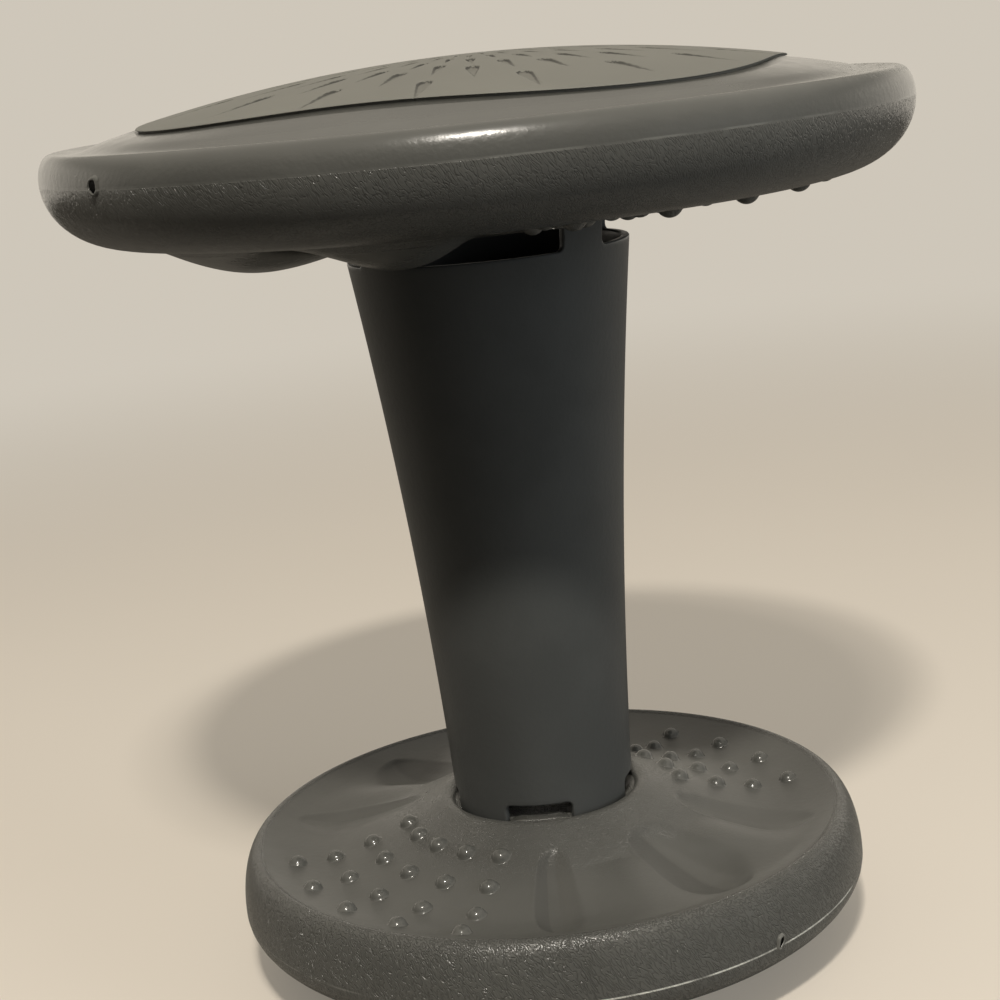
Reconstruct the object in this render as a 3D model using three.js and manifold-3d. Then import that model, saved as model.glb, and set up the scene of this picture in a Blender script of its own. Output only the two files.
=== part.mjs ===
// Wobble stool: two blow-moulded discs joined by a flared tube, with a grip pad on the domed
// outer face of each disc. Millimetres, +Z up, origin where the middle of the rocker meets the floor.
import * as THREE from 'three';
import { mergeVertices } from 'three/addons/utils/BufferGeometryUtils.js';
import Module from 'manifold-3d';

const wasm = await Module();
wasm.setup();

// Walls and fits shared by several pieces
const wall = 3.2;
const seatingGap = 0.3;
const overrun = 1;
const padThickness = 4;
const padProud = 1.4;

// Base disc: the smaller one, which rocks on its domed underside.
// Insets run inwards from the rim or the crest, and rises run up from the form below.
const baseRimRadius = 126;
const baseUnderInset = 25;
const baseFlankRise = 15.7;
const baseCrestInset = 8.2;
const baseCrestRise = 22.6;
const baseValleyInset = 24.8;
const baseValleyDepth = 6.1;
const baseCollarWidth = 5.6;
const baseHubRise = 11;
const baseLobeWidth = 20;
const baseLobeInset = 9.8;
const baseLobeRise = 1;
const baseScoopDepth = 4;
const baseScoopStart = 10;
const baseScoopInset = 11.8;
const baseBumpRadius = 4.8;
const baseBumpRise = 2.7;
const baseBumpStart = 15;
const baseBumpInset = 14.6;
const baseBumpColumns = 5;
const rockerRadius = 369;
const footFlatRadius = 28;
const basePadSideInset = 23;
const basePadCornerInset = 16;

// Seat disc: the larger one, whose face of lobes and bumps points down
const seatRimRadius = 163;
const seatUnderInset = 28.6;
const seatFlankRise = 25;
const seatCrestInset = 5.5;
const seatCrestRise = 10.5;
const seatTroughInset = 9.5;
const seatTroughDepth = 0.9;
const seatValleyInset = 22.4;
const seatValleyDepth = 1.6;
const seatCollarWidth = 4.4;
const seatHubRise = 7.6;
const seatLobeWidth = 36;
const seatLobeInset = 1;
const seatLobeRise = 13.3;
const seatScoopDepth = 4;
const seatScoopStart = 5;
const seatScoopInset = 4.4;
const seatBumpRadius = 5.4;
const seatBumpRise = 3.8;
const seatBumpStart = 13;
const seatBumpInset = 4.6;
const seatBumpColumns = 6;
const crownRadius = 577;
const crownRise = 20;
const seatPadSideInset = 32.4;
const seatPadCornerInset = 19;

// Column: a tube that flares towards the seat, with four notches in each end
const columnLength = 258.9;
const columnFootRadius = 35.4;
const columnMiddleRadius = 38.9;
const columnTopRadius = 57.6;
const footNotchDepth = 21;
const footNotchWidth = 26.4;
const topNotchDepth = 23.2;
const topNotchWidth = 62;
const notchCornerRadius = 2.4;

// Sockets for the column's ends, and the lugs in its notches that stop it from turning
const socketGap = 0.45;
const footSocketDepth = 16.6;
const topSocketDepth = 13.8;
const collarLip = 3.6;
const bossDrop = 1.2;
const lugEndGap = 2.4;
const lugSideGap = 1.6;

// Vent holes beside the parting lines
const ventRadius = 1.5;
const ventLift = 1.2;
const baseVentAzimuth = 309;
const seatVentAzimuth = 218;

// Pattern of the textured faces: azimuths in degrees about +Z, for the base seen from above.
// The second half of each face repeats the first after half a turn, and the seat mirrors it.
const bumpSectorAzimuth = 220;
const bumpColumnTurn = 15;
const bumpRingCount = 4;
const lobeSectorAzimuth = 310;
const notchAzimuths = [85, 175, 265, 355];
const padCornerAzimuth = 61;
// Across a sector: degrees from its middle, and the share of the lobe (above 0) or scoop (below)
const baseSectorShares = [
  [-50, 0], [-45, 0], [-40, -1], [-25, 0], [-20, 1], [-15, 1], [-10, 0.6], [-5, -1],
  [10, 0], [15, 1], [25, 1], [30, 0.2], [35, -1], [50, 0],
];
const seatSectorShares = [
  [-50, 0], [-45, -1], [-35, 0], [-30, 0.5], [-25, 1], [-20, 1], [-15, 0.5], [-10, 0], [0, -1],
  [10, 0], [15, 0.5], [20, 1], [25, 1], [30, 0.5], [35, 0], [45, -1], [50, 0],
];
const hubSlopePower = 1.5;
const lobeWallShare = 0.05;

// How finely the forms are divided
const discSegments = 72;
const columnSegments = 36;
const cavitySegments = 24;
const flankSteps = 4;
const crestSteps = 3;
const faceSteps = 8;
const lipSteps = 2;
const columnSteps = 5;
const cavityFlankSteps = 3;
const cavityCrestSteps = 2;
const cavityFaceSteps = 5;
const bumpSegments = 6;
const bumpSteps = 4;

const fullTurn = 360;
const degrees = THREE.MathUtils.degToRad;
const { clamp } = THREE.MathUtils;

// Heights, stacked up from the floor
const footFlatRise = footFlatRadius ** 2 / (2 * rockerRadius);
const rockerHeight = (radius) => radius ** 2 / (2 * rockerRadius) - footFlatRise;
const baseUnderRadius = baseRimRadius - baseUnderInset;
const baseUnderHeight = rockerHeight(baseUnderRadius) + padProud;
const basePartingHeight = baseUnderHeight + baseFlankRise;
const baseCrestHeight = basePartingHeight + baseCrestRise;
const baseCollarHeight = baseCrestHeight + baseHubRise;
const footFloorHeight = baseCollarHeight - footSocketDepth;
const columnFootHeight = footFloorHeight + seatingGap;
const columnTopHeight = columnFootHeight + columnLength;
const topFloorHeight = columnTopHeight + seatingGap;
const topCollarHeight = topFloorHeight - topSocketDepth;
const seatUnderHeight = topCollarHeight + seatHubRise;
const seatPartingHeight = seatUnderHeight + seatFlankRise;
const seatCrestHeight = seatPartingHeight + seatCrestRise;
const crownHeight = seatCrestHeight + crownRise;
const footNotchHeight = columnFootHeight + footNotchDepth;
const topNotchHeight = columnTopHeight - topNotchDepth;

// Radii, from the rims inwards and from the sockets outwards
const columnCurve = new THREE.QuadraticBezierCurve(
  new THREE.Vector2(columnFootRadius, columnFootHeight),
  new THREE.Vector2(columnMiddleRadius, (columnFootHeight + columnTopHeight) / 2),
  new THREE.Vector2(columnTopRadius, columnTopHeight),
);
const columnRadiusAt = (height) => columnCurve.getPoint((height - columnFootHeight) / columnLength).x;
const footSocketRadius = columnRadiusAt(baseCollarHeight) + socketGap;
const footBossRadius = columnFootRadius - wall - socketGap;
const topSocketRadius = columnTopRadius + socketGap;
const topBossRadius = columnRadiusAt(topNotchHeight) - wall - socketGap;
const baseCrestRadius = baseRimRadius - baseCrestInset;
const baseHubRadius = footSocketRadius + baseCollarWidth;
const seatUnderRadius = seatRimRadius - seatUnderInset;
const seatCrestRadius = seatRimRadius - seatCrestInset;
const seatTroughRadius = seatCrestRadius - seatTroughInset;
const seatHubRadius = topSocketRadius + seatCollarWidth;
const basePadSideRadius = baseUnderRadius - basePadSideInset;
const basePadCornerRadius = baseUnderRadius - basePadCornerInset;
const seatPadSideRadius = seatTroughRadius - seatPadSideInset;
const seatPadCornerRadius = seatTroughRadius - seatPadCornerInset;

// Lofts: a ring gives its radius and height at each azimuth, and a radius of zero is a pole

const ring = (radius, height) => () => [radius, height];

function loft(rings, segments, closed = false) {
  const starts = [];
  const counts = [];
  const positions = [];
  for (const place of rings) {
    const count = place(0)[0] === 0 ? 1 : segments;
    starts.push(positions.length / 3);
    counts.push(count);
    for (let i = 0; i < count; i += 1) {
      const azimuth = degrees((i * fullTurn) / segments);
      const [radius, height] = place(azimuth);
      positions.push(radius * Math.cos(azimuth), radius * Math.sin(azimuth), height);
    }
  }
  const vertex = (k, i) => starts[k] + (counts[k] === 1 ? 0 : i % segments);
  const indices = [];
  for (let k = 0; k < rings.length - (closed ? 0 : 1); k += 1) {
    const next = (k + 1) % rings.length;
    for (let i = 0; i < segments; i += 1) {
      const [a, b] = [vertex(k, i), vertex(k, i + 1)];
      const [c, d] = [vertex(next, i + 1), vertex(next, i)];
      if (a !== b) indices.push(a, b, c);
      if (c !== d) indices.push(a, c, d);
    }
  }
  const geometry = new THREE.BufferGeometry();
  geometry.setAttribute('position', new THREE.Float32BufferAttribute(positions, 3));
  geometry.setIndex(indices);
  return geometry;
}

// Rings along an elliptical arc, between two angles in degrees
function arcRings([radius, height], [acrossRadius, uprightRadius], from, to, steps) {
  return Array.from({ length: steps + 1 }, (_, i) => {
    const angle = degrees(from + ((to - from) * i) / steps);
    return ring(radius + acrossRadius * Math.cos(angle), height + uprightRadius * Math.sin(angle));
  });
}

const radiiBetween = (from, to, steps) =>
  Array.from({ length: steps + 1 }, (_, i) => from + ((to - from) * i) / steps);

// Booleans

function solid(geometry) {
  geometry.deleteAttribute('normal');
  geometry.deleteAttribute('uv');
  const joined = mergeVertices(geometry);
  return new wasm.Manifold(new wasm.Mesh({
    numProp: 3,
    vertProperties: new Float32Array(joined.getAttribute('position').array),
    triVerts: new Uint32Array(joined.getIndex().array),
  }));
}

function piece(name, manifold, material) {
  const { vertProperties, triVerts } = manifold.getMesh();
  const geometry = new THREE.BufferGeometry();
  geometry.setAttribute('position', new THREE.BufferAttribute(vertProperties, 3));
  geometry.setIndex(new THREE.BufferAttribute(triVerts, 1));
  geometry.computeVertexNormals();
  const mesh = new THREE.Mesh(geometry, material);
  mesh.name = name;
  return mesh;
}

// A prism that runs outwards from the axis at an azimuth, with rounded corners at one end
function radialPrism(azimuth, width, squareEnd, roundEnd, reach) {
  const half = width / 2;
  const corner = Math.sign(roundEnd - squareEnd) * notchCornerRadius;
  const side = new THREE.Shape();
  side.moveTo(-half, squareEnd);
  side.lineTo(half, squareEnd);
  side.lineTo(half, roundEnd - corner);
  side.quadraticCurveTo(half, roundEnd, half - Math.abs(corner), roundEnd);
  side.lineTo(Math.abs(corner) - half, roundEnd);
  side.quadraticCurveTo(-half, roundEnd, -half, roundEnd - corner);
  const prism = new THREE.ExtrudeGeometry(side, { depth: reach, bevelEnabled: false, curveSegments: 3 });
  const angle = degrees(azimuth);
  const outwards = new THREE.Vector3(Math.cos(angle), Math.sin(angle), 0);
  const across = new THREE.Vector3(-Math.sin(angle), Math.cos(angle), 0);
  prism.applyMatrix4(new THREE.Matrix4().makeBasis(across, new THREE.Vector3(0, 0, 1), outwards));
  return solid(prism);
}

function tubeSolid(innerRadius, outerRadius, bottom, top) {
  return solid(loft([
    ring(innerRadius, bottom), ring(outerRadius, bottom), ring(outerRadius, top), ring(innerRadius, top),
  ], columnSegments, true));
}

// Textured face of a disc: rise above the plane of its crest at a radius and azimuth

const mirroredTo = (face, azimuth) => (face.mirrored ? Math.PI - azimuth : azimuth);

function sectorShare(face, azimuth) {
  const turned = THREE.MathUtils.radToDeg(mirroredTo(face, azimuth)) - lobeSectorAzimuth;
  const offset = THREE.MathUtils.euclideanModulo(turned + fullTurn / 4, fullTurn / 2) - fullTurn / 4;
  const after = face.sectorShares.findIndex(([place]) => place >= offset);
  if (after < 1) return 0;
  const [[from, low], [to, high]] = [face.sectorShares[after - 1], face.sectorShares[after]];
  return low + ((high - low) * (offset - from)) / (to - from);
}

function dishRise(face, radius) {
  if (radius >= face.valleyRadius) {
    const share = (radius - face.valleyRadius) / (face.crestRadius - face.valleyRadius);
    return face.valleyDepth * (share ** 2 - 1);
  }
  const share = clamp((face.valleyRadius - radius) / (face.valleyRadius - face.hubRadius), 0, 1);
  return (face.hubRise + face.valleyDepth) * share ** hubSlopePower - face.valleyDepth;
}

function scoopShare(face, radius) {
  const share = (radius - face.scoopStartRadius) / (face.scoopEndRadius - face.scoopStartRadius);
  return Math.sin(Math.PI * clamp(share, 0, 1));
}

function lobeRise(face, radius) {
  const share = clamp((radius - face.lobeFlatRadius) / (face.lobeEndRadius - face.lobeFlatRadius), 0, 1);
  const fall = (1 - Math.cos(Math.PI * share)) / 2;
  return face.lobeRise + (dishRise(face, face.lobeEndRadius) - face.lobeRise) * fall;
}

function faceRise(face, radius, azimuth) {
  const share = sectorShare(face, azimuth);
  const dish = dishRise(face, radius);
  if (share < 0) return dish + share * face.scoopDepth * scoopShare(face, radius);
  const inside = clamp((radius / face.hubRadius - 1) / lobeWallShare, 0, 1);
  return dish + share * inside * Math.max(lobeRise(face, radius) - dish, 0);
}

const baseFace = {
  crestRadius: baseCrestRadius,
  valleyRadius: baseCrestRadius - baseValleyInset,
  valleyDepth: baseValleyDepth,
  hubRadius: baseHubRadius,
  hubRise: baseHubRise,
  lobeFlatRadius: baseHubRadius + baseLobeWidth,
  lobeEndRadius: baseCrestRadius - baseLobeInset,
  lobeRise: baseLobeRise,
  scoopDepth: baseScoopDepth,
  scoopStartRadius: baseHubRadius + baseScoopStart,
  scoopEndRadius: baseCrestRadius - baseScoopInset,
  bumpRadius: baseBumpRadius,
  bumpRise: baseBumpRise,
  bumpColumns: baseBumpColumns,
  bumpStartRadius: baseHubRadius + baseBumpStart,
  bumpEndRadius: baseCrestRadius - baseBumpInset,
  sectorShares: baseSectorShares,
  mirrored: false,
};

const seatFace = {
  crestRadius: seatUnderRadius,
  valleyRadius: seatUnderRadius - seatValleyInset,
  valleyDepth: seatValleyDepth,
  hubRadius: seatHubRadius,
  hubRise: seatHubRise,
  lobeFlatRadius: seatHubRadius + seatLobeWidth,
  lobeEndRadius: seatUnderRadius - seatLobeInset,
  lobeRise: seatLobeRise,
  scoopDepth: seatScoopDepth,
  scoopStartRadius: seatHubRadius + seatScoopStart,
  scoopEndRadius: seatUnderRadius - seatScoopInset,
  bumpRadius: seatBumpRadius,
  bumpRise: seatBumpRise,
  bumpColumns: seatBumpColumns,
  bumpStartRadius: seatHubRadius + seatBumpStart,
  bumpEndRadius: seatUnderRadius - seatBumpInset,
  sectorShares: seatSectorShares,
  mirrored: true,
};

const baseFaceHeight = (radius, azimuth) => baseCrestHeight + faceRise(baseFace, radius, azimuth);
const seatFaceHeight = (radius, azimuth) => seatUnderHeight - faceRise(seatFace, radius, azimuth);

// Round-topped grip bumps on a face, in rings and columns
function bumps(face, faceHeight) {
  const places = [];
  for (let column = 0; column < face.bumpColumns; column += 1) {
    const turn = bumpColumnTurn * (column - (face.bumpColumns - 1) / 2);
    const azimuth = mirroredTo(face, degrees(bumpSectorAzimuth + turn));
    for (const radius of radiiBetween(face.bumpStartRadius, face.bumpEndRadius, bumpRingCount - 1)) {
      places.push([radius, azimuth], [radius, azimuth + Math.PI]);
    }
  }
  return places.map(([radius, azimuth]) => {
    const bump = new THREE.SphereGeometry(face.bumpRadius, bumpSegments, bumpSteps).rotateX(Math.PI / 2);
    bump.scale(1, 1, face.bumpRise / face.bumpRadius);
    bump.translate(radius * Math.cos(azimuth), radius * Math.sin(azimuth), faceHeight(radius, azimuth));
    return solid(bump);
  });
}

// Grip pads: a squarish outline with four soft corners, on a spherical bed

function padRadius(sideRadius, cornerRadius, cornerAzimuth, azimuth) {
  const quarters = Math.cos(4 * (azimuth - degrees(cornerAzimuth)));
  return sideRadius + ((cornerRadius - sideRadius) * (1 + quarters)) / 2;
}

const basePadOutline = (azimuth) =>
  padRadius(basePadSideRadius, basePadCornerRadius, padCornerAzimuth, azimuth);
const seatPadOutline = (azimuth) =>
  padRadius(seatPadSideRadius, seatPadCornerRadius, fullTurn / 2 - padCornerAzimuth, azimuth);

const baseBedHeight = (radius) => rockerHeight(radius) + padThickness + seatingGap;
const crownSurface = (radius) => crownHeight - radius ** 2 / (2 * crownRadius);
const seatBedHeight = (radius) => crownSurface(radius) - padThickness - seatingGap;

// A ring that follows a pad's outline at a share of its radius, with room around it
function outlineRing(outline, share, room, height) {
  return (azimuth) => {
    const radius = share * (outline(azimuth) + room);
    return [radius, height(radius)];
  };
}

const bedShares = [0.55, 1];

function basePad() {
  const top = (radius) => rockerHeight(radius) + padThickness;
  const sole = (radius) => Math.max(rockerHeight(radius), 0);
  const flat = footFlatRadius / basePadSideRadius;
  return solid(loft([
    ring(0, sole(0)),
    ring(footFlatRadius, 0),
    outlineRing(basePadOutline, (1 + flat) / 2, 0, sole),
    outlineRing(basePadOutline, 1, 0, sole),
    ...[...bedShares].reverse().map((share) => outlineRing(basePadOutline, share, 0, top)),
    ring(0, top(0)),
  ], discSegments));
}

function seatPad() {
  const bottom = (radius) => crownSurface(radius) - padThickness;
  return solid(loft([
    ring(0, bottom(0)),
    ...bedShares.map((share) => outlineRing(seatPadOutline, share, 0, bottom)),
    ...[...bedShares].reverse().map((share) => outlineRing(seatPadOutline, share, 0, crownSurface)),
    ring(0, crownSurface(0)),
  ], discSegments));
}

// Column

function column() {
  const outside = columnCurve.getPoints(columnSteps);
  const inside = [...outside].reverse();
  let tube = solid(loft([
    ...outside.map(({ x, y }) => ring(x, y)),
    ...inside.map(({ x, y }) => ring(x - wall, y)),
  ], columnSegments, true));
  const reach = columnTopRadius + overrun;
  for (const azimuth of notchAzimuths) {
    tube = tube
      .subtract(radialPrism(azimuth, footNotchWidth, columnFootHeight - overrun, footNotchHeight, reach))
      .subtract(radialPrism(azimuth, topNotchWidth, columnTopHeight + overrun, topNotchHeight, reach));
  }
  return tube;
}

// Sockets: a ring groove round a boss, with a lug for each notch of the column

const footBossHeight = baseCollarHeight - bossDrop;
const footLugBottom = footFloorHeight - overrun;
const topLugTop = topFloorHeight + overrun;
const topBossHeight = topCollarHeight + bossDrop;

function lugs(innerRadius, outerRadius, notchWidth, bottom, top) {
  const band = tubeSolid(innerRadius - overrun, outerRadius + overrun, bottom, top);
  return notchAzimuths.map((azimuth) => band.intersect(
    radialPrism(azimuth, notchWidth - 2 * lugSideGap, bottom - overrun, top, outerRadius + 2 * overrun),
  ));
}

function vent(rimRadius, partingHeight, azimuth) {
  const hole = new THREE.CylinderGeometry(ventRadius, ventRadius, 4 * wall, 8).rotateZ(Math.PI / 2);
  hole.translate(rimRadius, 0, partingHeight + ventLift).rotateZ(degrees(azimuth));
  return solid(hole);
}

// Shells: hollow discs, open to the air only at the vent

const faceRings = (face, faceHeight, from, to) => radiiBetween(from, to, faceSteps)
  .map((radius) => (azimuth) => [radius, faceHeight(radius, azimuth)]);

function cavityFaceRings(face, height, inwards, from, to) {
  return radiiBetween(from, to, cavityFaceSteps).map((radius) => {
    const rise = dishRise(face, radius) - face.scoopDepth * scoopShare(face, radius) - wall;
    return ring(radius, height - inwards * rise);
  });
}

function baseCavity() {
  const hollowRadius = footSocketRadius + wall;
  const flank = [baseUnderInset - wall, baseFlankRise - wall];
  const crest = [baseCrestInset - wall, baseCrestRise - wall];
  const bedEdge = basePadCornerRadius + wall;
  return solid(loft([
    ring(0, baseBedHeight(0) + wall),
    ring(basePadSideRadius / 2, baseBedHeight(basePadSideRadius / 2) + wall),
    ring(bedEdge, baseBedHeight(bedEdge) + wall),
    ...arcRings([baseUnderRadius, basePartingHeight], flank, -90, 0, cavityFlankSteps),
    ...arcRings([baseCrestRadius, basePartingHeight], crest, 0, 90, cavityCrestSteps).slice(1),
    ...cavityFaceRings(baseFace, baseCrestHeight, -1, baseCrestRadius, hollowRadius).slice(1),
    ring(hollowRadius, footFloorHeight - wall),
    ring(footBossRadius - wall, footFloorHeight - wall),
    ring(footBossRadius - wall, footBossHeight - wall),
    ring(0, footBossHeight - wall),
  ], cavitySegments));
}

function baseShell() {
  const underside = (radius) => rockerHeight(radius) + padProud;
  const flank = [baseUnderInset, baseFlankRise];
  const crest = [baseCrestInset, baseCrestRise];
  const collar = [footSocketRadius + collarLip, baseCollarHeight - collarLip];
  const outside = solid(loft([
    ring(0, baseBedHeight(0)),
    ...bedShares.map((share) => outlineRing(basePadOutline, share, seatingGap, baseBedHeight)),
    outlineRing(basePadOutline, 1, seatingGap, underside),
    ...arcRings([baseUnderRadius, basePartingHeight], flank, -90, 0, flankSteps),
    ...arcRings([baseCrestRadius, basePartingHeight], crest, 0, 90, crestSteps).slice(1),
    ...faceRings(baseFace, baseFaceHeight, baseCrestRadius, baseHubRadius).slice(1),
    ...arcRings(collar, [collarLip, collarLip], 90, 180, lipSteps),
    ring(footSocketRadius, footFloorHeight),
    ring(footBossRadius, footFloorHeight),
    ring(footBossRadius, footBossHeight),
    ring(0, footBossHeight),
  ], discSegments));
  const additions = [
    ...bumps(baseFace, baseFaceHeight),
    ...lugs(footBossRadius, footSocketRadius, footNotchWidth, footLugBottom, footNotchHeight - lugEndGap),
  ];
  return wasm.Manifold.union([outside, ...additions])
    .subtract(baseCavity())
    .subtract(vent(baseRimRadius, basePartingHeight, baseVentAzimuth));
}

function seatCavity() {
  const hollowRadius = topSocketRadius + wall;
  const flank = [seatUnderInset - wall, seatFlankRise - wall];
  const crest = [seatCrestInset - wall, seatCrestRise - wall];
  const bedEdge = seatPadCornerRadius + wall;
  return solid(loft([
    ring(0, topBossHeight + wall),
    ring(topBossRadius - wall, topBossHeight + wall),
    ring(topBossRadius - wall, topFloorHeight + wall),
    ring(hollowRadius, topFloorHeight + wall),
    ...cavityFaceRings(seatFace, seatUnderHeight, 1, hollowRadius, seatUnderRadius).slice(0, -1),
    ...arcRings([seatUnderRadius, seatPartingHeight], flank, -90, 0, cavityFlankSteps),
    ...arcRings([seatCrestRadius, seatPartingHeight], crest, 0, 90, cavityCrestSteps).slice(1),
    ring(seatTroughRadius, seatCrestHeight - seatTroughDepth - wall),
    ring(bedEdge, seatBedHeight(bedEdge) - wall),
    ring(seatPadSideRadius / 2, seatBedHeight(seatPadSideRadius / 2) - wall),
    ring(0, seatBedHeight(0) - wall),
  ], cavitySegments));
}

function seatShell() {
  const shoulder = (radius) => crownSurface(radius) - padProud;
  const flank = [seatUnderInset, seatFlankRise];
  const crest = [seatCrestInset, seatCrestRise];
  const collar = [topSocketRadius + collarLip, topCollarHeight + collarLip];
  const outside = solid(loft([
    ring(0, topBossHeight),
    ring(topBossRadius, topBossHeight),
    ring(topBossRadius, topFloorHeight),
    ring(topSocketRadius, topFloorHeight),
    ...arcRings(collar, [collarLip, collarLip], 180, 270, lipSteps),
    ...faceRings(seatFace, seatFaceHeight, seatHubRadius, seatUnderRadius).slice(0, -1),
    ...arcRings([seatUnderRadius, seatPartingHeight], flank, -90, 0, flankSteps),
    ...arcRings([seatCrestRadius, seatPartingHeight], crest, 0, 90, crestSteps).slice(1),
    ring(seatTroughRadius, seatCrestHeight - seatTroughDepth),
    outlineRing(seatPadOutline, 1, seatingGap, shoulder),
    ...[...bedShares].reverse()
      .map((share) => outlineRing(seatPadOutline, share, seatingGap, seatBedHeight)),
    ring(0, seatBedHeight(0)),
  ], discSegments));
  const additions = [
    ...bumps(seatFace, seatFaceHeight),
    ...lugs(topBossRadius, topSocketRadius, topNotchWidth, topCollarHeight, topLugTop),
  ];
  return wasm.Manifold.union([outside, ...additions])
    .subtract(seatCavity())
    .subtract(vent(seatRimRadius, seatPartingHeight, seatVentAzimuth));
}

// Assembly

const shellPlastic = () =>
  new THREE.MeshStandardMaterial({ color: 0x5b5e5e, roughness: 0.45, metalness: 0 });
const padPlastic = () =>
  new THREE.MeshStandardMaterial({ color: 0x57564f, roughness: 0.7, metalness: 0 });

const wobbleStool = new THREE.Group();
wobbleStool.add(
  piece('base_shell', baseShell(), shellPlastic()),
  piece('base_pad', basePad(), padPlastic()),
  piece('column', column(), shellPlastic()),
  piece('seat_shell', seatShell(), shellPlastic()),
  piece('seat_pad', seatPad(), padPlastic()),
);

export default wobbleStool;
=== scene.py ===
# Wobble stool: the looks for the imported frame, in metres, +Z up.
import math

import bpy
import numpy as np
from mathutils import Matrix, Vector


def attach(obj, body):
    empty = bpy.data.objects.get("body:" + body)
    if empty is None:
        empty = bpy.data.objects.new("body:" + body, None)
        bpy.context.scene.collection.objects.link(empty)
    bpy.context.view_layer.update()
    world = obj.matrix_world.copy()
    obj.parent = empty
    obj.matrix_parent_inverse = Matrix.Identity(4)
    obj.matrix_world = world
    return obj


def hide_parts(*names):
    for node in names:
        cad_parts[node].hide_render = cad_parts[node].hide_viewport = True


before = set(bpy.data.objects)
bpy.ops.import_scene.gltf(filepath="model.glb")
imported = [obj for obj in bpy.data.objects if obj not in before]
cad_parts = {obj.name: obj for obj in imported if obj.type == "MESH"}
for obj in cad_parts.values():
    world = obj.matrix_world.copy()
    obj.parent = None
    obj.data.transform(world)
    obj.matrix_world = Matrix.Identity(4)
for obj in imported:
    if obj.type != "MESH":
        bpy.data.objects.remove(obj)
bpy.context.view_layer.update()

mm = 0.001
mainCollection = bpy.context.scene.collection


# Node trees: a Field wraps one socket, so that sums are written as sums.

class Field:
    def __init__(self, tree, socket):
        self.tree = tree
        self.socket = socket

    def __add__(self, other):
        return self.tree.maths("ADD", self, other)

    def __sub__(self, other):
        return self.tree.maths("SUBTRACT", self, other)

    def __mul__(self, other):
        return self.tree.maths("MULTIPLY", self, other)

    def __truediv__(self, other):
        return self.tree.maths("DIVIDE", self, other)

    def __radd__(self, other):
        return self.tree.maths("ADD", other, self)

    def __rsub__(self, other):
        return self.tree.maths("SUBTRACT", other, self)

    def __rmul__(self, other):
        return self.tree.maths("MULTIPLY", other, self)

    # Another output of the node that this one belongs to.
    def sibling(self, output):
        return Field(self.tree, self.socket.node.outputs[output])


class Tree:
    def __init__(self, nodeTree):
        self.nodeTree = nodeTree

    # One node: its settings go first, then the values or links of its sockets.
    def add(self, kind, settings=None, inputs=None, output=0):
        node = self.nodeTree.nodes.new(kind)
        for key, value in (settings or {}).items():
            setattr(node, key, value)
        for key, value in (inputs or {}).items():
            if isinstance(value, Field):
                self.nodeTree.links.new(value.socket, node.inputs[key])
            else:
                node.inputs[key].default_value = value
        return Field(self, node.outputs[output])

    def maths(self, operation, *values):
        return self.add("ShaderNodeMath", {"operation": operation}, dict(enumerate(values)))

    def step(self, value, low, high):
        return self.add("ShaderNodeMapRange", {"interpolation_type": "SMOOTHSTEP"},
                        {"Value": value, "From Min": low, "From Max": high})

    # Two colours mixed: the Mix node keeps its colour sockets behind those for numbers and vectors.
    def mixed(self, share, first, second):
        return self.add("ShaderNodeMix", {"data_type": "RGBA"}, {0: share, 6: first, 7: second}, 2)

    # A noise over places, of four dimensions where it has a seed.
    def noise(self, place, scale, detail=2.0, roughness=0.5, seed=None, output=0):
        inputs = {"Vector": place, "Scale": scale, "Detail": detail, "Roughness": roughness}
        if seed is None:
            return self.add("ShaderNodeTexNoise", inputs=inputs, output=output)
        return self.add("ShaderNodeTexNoise", {"noise_dimensions": "4D"}, inputs | {"W": seed}, output)

    def vectors(self, operation, *values):
        return self.add("ShaderNodeVectorMath", {"operation": operation}, dict(enumerate(values)))

    def parts(self, vector):
        x = self.add("ShaderNodeSeparateXYZ", inputs={0: vector})
        return x, x.sibling(1), x.sibling(2)

    # Ends a geometry tree.
    def finish(self, geometry):
        end = self.nodeTree.nodes.new("NodeGroupOutput")
        self.nodeTree.links.new(geometry.socket, end.inputs["Geometry"])


def tinted(level, tint):
    return (*(level * t for t in tint), 1.0)


# Materials

def newMaterial(name):
    material = bpy.data.materials.new(name)
    material.use_nodes = True
    tree = Tree(material.node_tree)
    shader = next(n for n in material.node_tree.nodes if n.type == "BSDF_PRINCIPLED")
    return material, tree, shader


def feed(tree, shader, sockets):
    for name, value in sockets.items():
        if isinstance(value, Field):
            tree.nodeTree.links.new(value.socket, shader.inputs[name])
        else:
            shader.inputs[name].default_value = value


discTint = (1.0, 1.0, 0.915)
columnTint = (0.70, 0.735, 0.715)
plasticLook = {
    "colour": 0.098,
    "colourSpread": 0.008,
    "smoothRoughness": 0.24,
    "grainRoughness": 0.21,
    "ripple": 0.0006,           # unevenness of the blown wall
    "orangePeel": 0.00017,
    "recessShade": 0.4,         # painted shade: how dark the scoops' recesses and the creases of the grain are beside the rest
    "grainShade": 0.5,
}
matteLook = plasticLook | {"smoothRoughness": 0.44, "orangePeel": 0.0001}
shinyLook = plasticLook | {"smoothRoughness": 0.20, "orangePeel": 0.0}
columnLook = plasticLook | {"smoothRoughness": 0.36, "orangePeel": 0.0001}

# The moulded grain: short wavy ridges that slant down the flank, in metres and in radians per metre of height.
baseGrain = {
    "spacing": 0.00051,
    "slant": 4.5,
    "stretch": 0.42,
    "depth": 0.00034,
    "band": (0.010, 0.0550, 0.0008),            # from and to which height, and how soon it fades
    "innerRadius": 0.1155,
    "hub": (0.049, 0.058),                      # heights over which the fainter grain of the hub sets in
    "hubStrength": 0.6,
}
seatGrain = {
    "spacing": 0.00046,
    "slant": 3.4,
    "stretch": 0.30,
    "depth": 0.00016,
    "band": (0.2965, 0.3252, 0.0006),
}
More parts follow.
